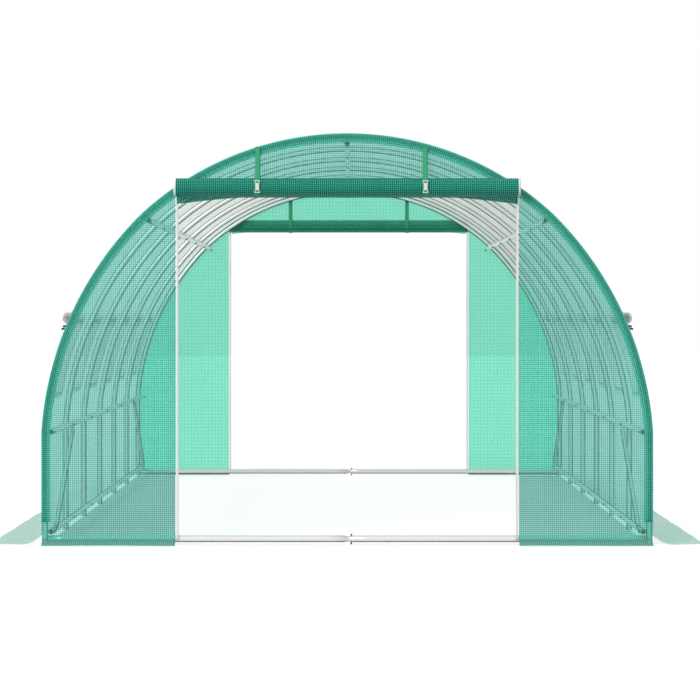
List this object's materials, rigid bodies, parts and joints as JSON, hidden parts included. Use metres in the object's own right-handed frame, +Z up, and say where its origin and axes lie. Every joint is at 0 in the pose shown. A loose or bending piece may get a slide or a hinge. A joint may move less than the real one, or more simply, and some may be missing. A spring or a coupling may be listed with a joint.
{
  "type": "polytunnel",
  "caption": "Walk-in tunnel greenhouse: round tube hoops and rails under a fabric cover, with an open rolled-up door at each end, side windows and ground skirts.",
  "frame": {"origin": "on the ground, in the middle of the tunnel's footprint", "axes": "+Z up, +Y along the tunnel from the front door to the rear door, +X to the right seen from the front"},
  "size_m": [3.495, 6.2388, 2.0145],
  "materials": {
    "galvanised_tube": "zinc-coated steel tube",
    "cover_film": "translucent green woven sheet",
    "skirt_film": "pale translucent sheet",
    "insect_mesh": "fine open mesh",
    "zip_tape": "white zip tape",
    "webbing": "woven strap",
    "buckle_plastic": "moulded plastic"
  },
  "bodies": {
    "root": {"base_rail_left": "galvanised_tube", "base_rail_right": "galvanised_tube", "front_base_tube": "galvanised_tube", "front_braces": "galvanised_tube", "front_buckles": "buckle_plastic", "front_door_roll": "cover_film", "front_head_panel": "cover_film", "front_panel_left": "cover_film", "front_panel_right": "cover_film", "front_skirts": "skirt_film", "front_straps": "webbing", "front_zips": "zip_tape", "haunch_cover_left": "cover_film", "haunch_cover_right": "cover_film", "hoop_1": "galvanised_tube", "hoop_2": "galvanised_tube", "hoop_3": "galvanised_tube", "hoop_4": "galvanised_tube", "hoop_5": "galvanised_tube", "hoop_6": "galvanised_tube", "hoop_7": "galvanised_tube", "rear_base_tube": "galvanised_tube", "rear_braces": "galvanised_tube", "rear_buckles": "buckle_plastic", "rear_door_roll": "cover_film", "rear_head_panel": "cover_film", "rear_panel_left": "cover_film", "rear_panel_right": "cover_film", "rear_skirts": "skirt_film", "rear_straps": "webbing", "rear_zips": "zip_tape", "ridge_purlin": "galvanised_tube", "roof_cover_left": "cover_film", "roof_cover_right": "cover_film", "shoulder_purlin_left": "galvanised_tube", "shoulder_purlin_right": "galvanised_tube", "side_rail_left": "galvanised_tube", "side_rail_right": "galvanised_tube", "side_skirt_left": "skirt_film", "side_skirt_right": "skirt_film", "wall_cover_left": "cover_film", "wall_cover_right": "cover_film", "window_mesh_left": "insect_mesh", "window_mesh_right": "insect_mesh", "window_rolls_left": "cover_film", "window_rolls_right": "cover_film"}
  },
  "joints": []
}
